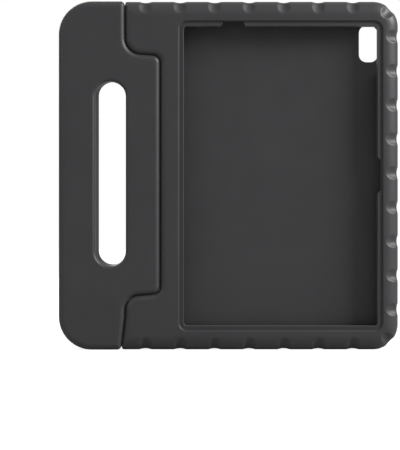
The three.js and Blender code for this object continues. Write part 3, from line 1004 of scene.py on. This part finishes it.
def handleShare():
    radius = seam["handleEdgeRadius"]
    rings = [
        (handleSeam(-inset), frontY + drop) for inset, drop, _ in roundingSteps(radius, edgeSteps)
    ]
    rings.append((handleSeam(0), 0.0))
    share = ringPiece("handleShare", rings)
    outline = handleSeam(0)
    behind = prism(outline, -sliver, backY + past)
    low = (pivotX, -past, -past)
    combine(behind, boxPiece(low, (recessWallX + past, backY + 2 * past, caseTop + past)))
    rows = seamReach(outline, 1, 0, caseTop)
    profile = [(0, rows[0][1])] + rows + [(0, rows[-1][1])]
    barrel = turnedPiece("barrel", profile, seamSteps, (pivotX, 0, 0))
    combine(behind, barrel, "UNION")
    return combine(share, behind, "UNION")


def slotTool():
    left, down, up = handle["wallLean"]
    straightY = frontY + handle["straightWall"]

    def outline(grow, y):
        share = min(1, (backY - y) / (backY - straightY))
        return roundedBox(
            handle["slotX"] - left / 2 * share,
            handle["slotZ"] + (up - down) / 2 * share,
            handle["slotWidth"] + left * share + 2 * grow,
            handle["slotLength"] + (up + down) * share + 2 * grow,
            (handle["slotWidth"] + left * share) / 2 + grow,
            20,
        )

    radius = handle["slotRound"]
    rings = [(outline(radius, frontY), frontY - past)]
    for grow, drop, _ in roundingSteps(radius, edgeSteps):
        rings.append((outline(grow, frontY + drop), frontY + drop))
    rings.append((outline(0, straightY), straightY))
    rings.append((outline(0, backY), backY + past))
    return ringPiece("slotTool", rings)


def makeHandle():
    piece = handleSlab()
    combine(piece, handleShare(), "INTERSECT")
    combine(piece, slotTool())
    combine(piece, boreTools())
    finishPiece(piece, handleFoam, "carry_handle", "handle")


makeBody()
makeHandle()
for name in ("upper_pivot_pin", "lower_pivot_pin"):
    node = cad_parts[name]
    node.data.materials.clear()
    node.data.materials.append(pinNylon)
print("pieces made")


# Pale floor and even white surroundings
studio = {
    "floorSize": 12.0,
    "floorGrey": 0.4,
    "floorGlow": (0.77, 0.93),  # near the case, and where the floor meets the surroundings
    "glowReach": (0.4, 2.4),
    "worldTop": 0.45,
    "worldBottom": 0.12,
    "worldReach": (-0.3, 0.7),  # heights of the view between which the level rises
    "lights": (
        # name, place, aimed at, width, height, watts
        ("key", (1.33, -0.6, 1.05), (0.05, 0, 0.15), 0.8, 0.8, 40.0),
        ("fill", (-1.2, -0.8, 0.6), (-0.05, 0, 0.15), 0.8, 0.8, 3.0),
        ("back", (-0.7, 1.5, 1.0), (0, 0, 0.14), 1.0, 1.0, 16.0),
    ),
}


# 1 for what the camera sees, straight or through something clear, and 0 for all other rays
def seenByCamera(tree):
    rays = addNode(tree, "ShaderNodeLightPath")
    return addNode(
        tree,
        "ShaderNodeMath",
        {0: rays.outputs["Is Camera Ray"], 1: rays.outputs["Is Transmission Ray"]},
        operation="MAXIMUM",
    ).outputs[0]


def addFloor():
    half = studio["floorSize"] / 2
    corners = [(-half, -half, 0), (half, -half, 0), (half, half, 0), (-half, half, 0)]
    floor = newPiece("floor", corners, [(0, 1, 2, 3)])
    material, tree = newMaterial("paleFloor")
    away = addNode(
        tree,
        "ShaderNodeVectorMath",
        {0: addNode(tree, "ShaderNodeTexCoord").outputs["Object"]},
        operation="LENGTH",
    )
    level = addNode(
        tree,
        "ShaderNodeMapRange",
        {
            "Value": away.outputs["Value"],
            "From Min": studio["glowReach"][0],
            "From Max": studio["glowReach"][1],
            "To Min": studio["floorGlow"][0],
            "To Max": studio["floorGlow"][1],
        },
    )
    glow = addNode(
        tree,
        "ShaderNodeMath",
        {0: seenByCamera(tree), 1: level.outputs["Result"]},
        operation="MULTIPLY",
    )
    grey = studio["floorGrey"]
    plain = addNode(tree, "ShaderNodeBsdfDiffuse", {"Color": (grey, grey, grey, 1)})
    light = addNode(tree, "ShaderNodeEmission", {"Strength": glow.outputs[0]})
    both = addNode(tree, "ShaderNodeAddShader", {0: plain.outputs[0], 1: light.outputs[0]})
    addNode(tree, "ShaderNodeOutputMaterial", {"Surface": both.outputs[0]})
    floor.data.materials.append(material)


def addWorld():
    world = bpy.data.worlds.new("surroundings")
    bpy.context.scene.world = world
    world.use_nodes = True
    tree = world.node_tree
    tree.nodes.clear()
    direction = addNode(tree, "ShaderNodeTexCoord").outputs["Generated"]
    height = addNode(tree, "ShaderNodeSeparateXYZ", {0: direction}).outputs["Z"]
    level = addNode(
        tree,
        "ShaderNodeMapRange",
        {
            "Value": height,
            "From Min": studio["worldReach"][0],
            "From Max": studio["worldReach"][1],
            "To Min": studio["worldBottom"],
            "To Max": studio["worldTop"],
        },
    ).outputs["Result"]
    strength = addNode(
        tree,
        "ShaderNodeMix",
        {"Factor": seenByCamera(tree), "A": level, "B": 1.0},
        data_type="FLOAT",
    )
    sky = addNode(
        tree,
        "ShaderNodeBackground",
        {"Color": (1, 1, 1, 1), "Strength": strength.outputs["Result"]},
    )
    addNode(tree, "ShaderNodeOutputWorld", {"Surface": sky.outputs[0]})


def addLights():
    for name, place, target, width, height, watts in studio["lights"]:
        lamp = bpy.data.lights.new(name, "AREA")
        lamp.shape = "RECTANGLE"
        lamp.size, lamp.size_y, lamp.energy = width, height, watts
        holder = bpy.data.objects.new(name, lamp)
        bpy.context.scene.collection.objects.link(holder)
        holder.location = place
        aim = Vector(target) - Vector(place)
        holder.rotation_euler = aim.to_track_quat("-Z", "Y").to_euler()


addFloor()
addWorld()
addLights()
bpy.context.scene.view_settings.view_transform = "Standard"
print("studio set")
